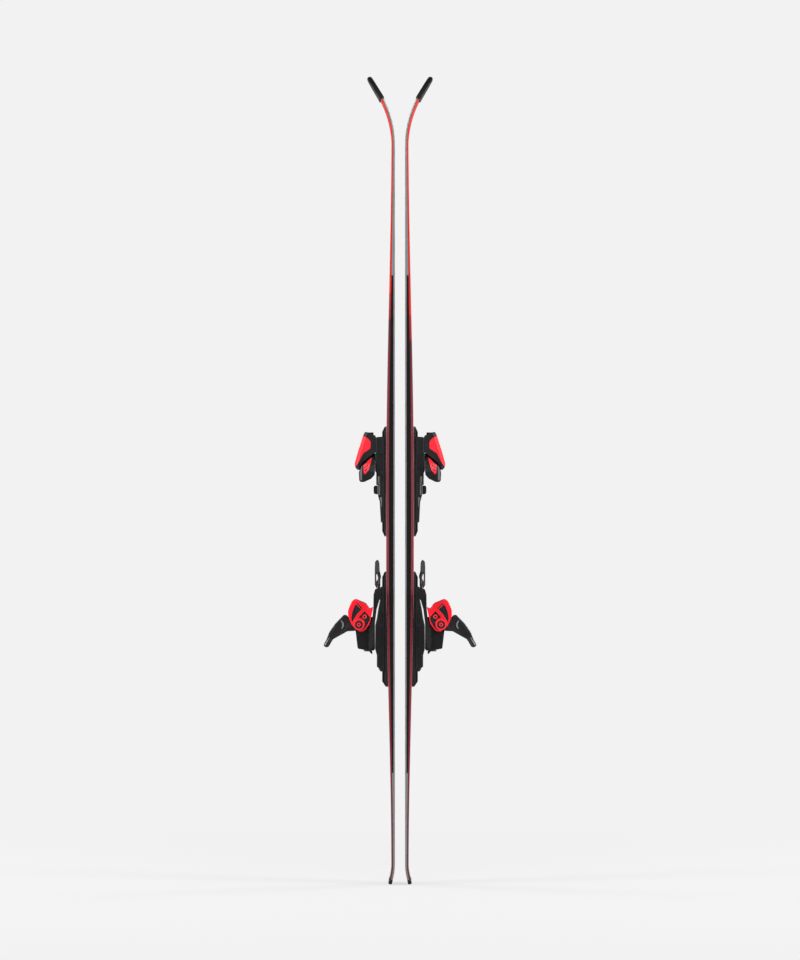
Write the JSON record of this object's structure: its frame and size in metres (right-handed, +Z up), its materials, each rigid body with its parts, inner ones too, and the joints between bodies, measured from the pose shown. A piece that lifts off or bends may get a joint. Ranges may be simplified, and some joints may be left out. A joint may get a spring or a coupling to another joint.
{
  "type": "pair of alpine skis with bindings",
  "caption": "Pair of carving skis standing tips up, bases facing, each with a rail-mounted toe piece, a heel piece with a step-in lever and a ski brake.",
  "frame": {"origin": "middle of the pair's footprint, at the lowest point of the tails", "axes": "+Z up along the skis from tail to tip, +X across the pair through the gap between the two bases, +Y across the width of the skis"},
  "size_m": [0.3144, 0.121, 1.6613],
  "materials": {
    "topsheet": "bright red towards the tip, fading to dark crimson behind the middle",
    "ski_base": "black sintered base with a fine stone grind",
    "edge_steel": "ground steel edge",
    "wood_core": "laminated light wood",
    "sidewall": "black under the bindings, grey towards both ends",
    "protector_plastic": "ribbed near-black plastic",
    "black_plastic": "glass-filled nylon, fine moulded texture",
    "lever_plastic": "dark grey nylon with moulded ribs",
    "red_plastic": "bright red nylon, satin gloss",
    "slide_plastic": "low-friction grey plastic",
    "brake_steel": "bent steel wire, black phosphate",
    "spring_steel": "oiled spring steel",
    "screw_steel": "zinc-plated steel"
  },
  "bodies": {
    "left_ski": {"left_running_base": "ski_base", "left_steel_edge": "edge_steel", "left_core": "wood_core", "left_sidewall_a": "sidewall", "left_sidewall_b": "sidewall", "left_topsheet": "topsheet", "left_tip_protector": "protector_plastic", "left_tail_protector": "protector_plastic", "left_toe_track": "black_plastic", "left_heel_track": "black_plastic"},
    "left_toe": {"left_toe_base": "black_plastic", "left_toe_housing": "black_plastic", "left_toe_cover": "red_plastic", "left_toe_spring": "spring_steel"},
    "left_wing_a": {"left_toe_wing_a": "black_plastic"},
    "left_wing_b": {"left_toe_wing_b": "black_plastic"},
    "left_toe_screw": {"left_toe_din_screw": "screw_steel"},
    "left_afd": {"left_afd_plate": "slide_plastic"},
    "left_heel": {"left_heel_carriage": "black_plastic"},
    "left_worm": {"left_worm_screw": "screw_steel"},
    "left_tower": {"left_heel_tower": "black_plastic", "left_heel_spring": "spring_steel", "left_heel_pin": "screw_steel"},
    "left_heel_screw": {"left_heel_din_screw": "screw_steel"},
    "left_cup": {"left_heel_cup": "red_plastic"},
    "left_lever": {"left_heel_lever": "lever_plastic"},
    "left_brake": {"left_brake_pedal": "black_plastic", "left_brake_wire": "brake_steel", "left_brake_tip_a": "black_plastic", "left_brake_tip_b": "black_plastic"},
    "right_ski": {"right_running_base": "ski_base", "right_steel_edge": "edge_steel", "right_core": "wood_core", "right_sidewall_a": "sidewall", "right_sidewall_b": "sidewall", "right_topsheet": "topsheet", "right_tip_protector": "protector_plastic", "right_tail_protector": "protector_plastic", "right_toe_track": "black_plastic", "right_heel_track": "black_plastic"},
    "right_toe": {"right_toe_base": "black_plastic", "right_toe_housing": "black_plastic", "right_toe_cover": "red_plastic", "right_toe_spring": "spring_steel"},
    "right_wing_a": {"right_toe_wing_a": "black_plastic"},
    "right_wing_b": {"right_toe_wing_b": "black_plastic"},
    "right_toe_screw": {"right_toe_din_screw": "screw_steel"},
    "right_afd": {"right_afd_plate": "slide_plastic"},
    "right_heel": {"right_heel_carriage": "black_plastic"},
    "right_worm": {"right_worm_screw": "screw_steel"},
    "right_tower": {"right_heel_tower": "black_plastic", "right_heel_spring": "spring_steel", "right_heel_pin": "screw_steel"},
    "right_heel_screw": {"right_heel_din_screw": "screw_steel"},
    "right_cup": {"right_heel_cup": "red_plastic"},
    "right_lever": {"right_heel_lever": "lever_plastic"},
    "right_brake": {"right_brake_pedal": "black_plastic", "right_brake_wire": "brake_steel", "right_brake_tip_a": "black_plastic", "right_brake_tip_b": "black_plastic"}
  },
  "joints": [
    {"name": "skis_apart", "type": "slide", "parent": "left_ski", "child": "right_ski", "axis": [1, 0, 0], "range_m": [0, 0.3]},
    {"name": "left_toe_slide", "type": "slide", "parent": "left_ski", "child": "left_toe", "axis": [0, 0, 1], "range_m": [-0.008, 0.009]},
    {"name": "left_wing_a_pivot", "type": "hinge", "parent": "left_toe", "child": "left_wing_a", "pos_m": [-0.0675, 0.021, 0.874], "axis": [1, 0, 0], "range_deg": [0, 30], "stiffness_Nm_per_rad": 2, "springref_deg": -11.46},
    {"name": "left_wing_b_pivot", "type": "hinge", "parent": "left_toe", "child": "left_wing_b", "pos_m": [-0.0675, -0.021, 0.874], "axis": [-1, 0, 0], "range_deg": [0, 30], "stiffness_Nm_per_rad": 2, "springref_deg": -11.46},
    {"name": "left_toe_screw_turn", "type": "hinge", "parent": "left_toe", "child": "left_toe_screw", "pos_m": [-0.0615, 0, 0.925], "axis": [0, 0, 1], "range_deg": [-720, 720]},
    {"name": "left_afd_slide", "type": "slide", "parent": "left_toe", "child": "left_afd", "axis": [0, -1, 0], "range_m": [-0.004, 0.004], "stiffness_N_per_m": 300},
    {"name": "left_heel_slide", "type": "slide", "parent": "left_ski", "child": "left_heel", "axis": [0, 0, 1], "range_m": [-0.012, 0.018]},
    {"name": "left_worm_turn", "type": "hinge", "parent": "left_heel", "child": "left_worm", "pos_m": [-0.0403, 0, 0.455], "axis": [0, 0, 1], "range_deg": [-1500, 2250]},
    {"name": "left_forward_pressure", "type": "slide", "parent": "left_heel", "child": "left_tower", "axis": [0, 0, 1], "range_m": [-0.008, 0], "stiffness_N_per_m": 5000, "springref_m": 0.005},
    {"name": "left_heel_screw_turn", "type": "hinge", "parent": "left_tower", "child": "left_heel_screw", "pos_m": [-0.0675, 0, 0.482], "axis": [0, 0, 1], "range_deg": [-720, 720]},
    {"name": "left_cup_hinge", "type": "hinge", "parent": "left_tower", "child": "left_cup", "pos_m": [-0.0843, 0, 0.5337], "axis": [0, -1, 0], "range_deg": [0, 45]},
    {"name": "left_lever_hinge", "type": "hinge", "parent": "left_tower", "child": "left_lever", "pos_m": [-0.0843, 0, 0.5337], "axis": [0, -1, 0], "range_deg": [0, 50]},
    {"name": "left_brake_hinge", "type": "hinge", "parent": "left_heel", "child": "left_brake", "pos_m": [-0.045, 0, 0.598], "axis": [0, -1, 0], "range_deg": [0, 50]},
    {"name": "right_toe_slide", "type": "slide", "parent": "right_ski", "child": "right_toe", "axis": [0, 0, 1], "range_m": [-0.008, 0.009]},
    {"name": "right_wing_a_pivot", "type": "hinge", "parent": "right_toe", "child": "right_wing_a", "pos_m": [0.0675, -0.021, 0.874], "axis": [-1, 0, 0], "range_deg": [0, 30], "stiffness_Nm_per_rad": 2, "springref_deg": -11.46},
    {"name": "right_wing_b_pivot", "type": "hinge", "parent": "right_toe", "child": "right_wing_b", "pos_m": [0.0675, 0.021, 0.874], "axis": [1, 0, 0], "range_deg": [0, 30], "stiffness_Nm_per_rad": 2, "springref_deg": -11.46},
    {"name": "right_toe_screw_turn", "type": "hinge", "parent": "right_toe", "child": "right_toe_screw", "pos_m": [0.0615, 0, 0.925], "axis": [0, 0, 1], "range_deg": [-720, 720]},
    {"name": "right_afd_slide", "type": "slide", "parent": "right_toe", "child": "right_afd", "axis": [0, 1, 0], "range_m": [-0.004, 0.004], "stiffness_N_per_m": 300},
    {"name": "right_heel_slide", "type": "slide", "parent": "right_ski", "child": "right_heel", "axis": [0, 0, 1], "range_m": [-0.012, 0.018]},
    {"name": "right_worm_turn", "type": "hinge", "parent": "right_heel", "child": "right_worm", "pos_m": [0.0403, 0, 0.455], "axis": [0, 0, 1], "range_deg": [-1500, 2250]},
    {"name": "right_forward_pressure", "type": "slide", "parent": "right_heel", "child": "right_tower", "axis": [0, 0, 1], "range_m": [-0.008, 0], "stiffness_N_per_m": 5000, "springref_m": 0.005},
    {"name": "right_heel_screw_turn", "type": "hinge", "parent": "right_tower", "child": "right_heel_screw", "pos_m": [0.0675, 0, 0.482], "axis": [0, 0, 1], "range_deg": [-720, 720]},
    {"name": "right_cup_hinge", "type": "hinge", "parent": "right_tower", "child": "right_cup", "pos_m": [0.0843, 0, 0.5337], "axis": [0, 1, 0], "range_deg": [0, 45]},
    {"name": "right_lever_hinge", "type": "hinge", "parent": "right_tower", "child": "right_lever", "pos_m": [0.0843, 0, 0.5337], "axis": [0, 1, 0], "range_deg": [0, 50]},
    {"name": "right_brake_hinge", "type": "hinge", "parent": "right_heel", "child": "right_brake", "pos_m": [0.045, 0, 0.598], "axis": [0, 1, 0], "range_deg": [0, 50]}
  ],
  "couplings": [
    {"joint": "left_worm_turn", "follows": "left_heel_slide", "rad_per_m": 2094.4},
    {"joint": "left_lever_hinge", "follows": "left_cup_hinge", "ratio": 1.11},
    {"joint": "right_worm_turn", "follows": "right_heel_slide", "rad_per_m": 2094.4},
    {"joint": "right_lever_hinge", "follows": "right_cup_hinge", "ratio": 1.11}
  ]
}
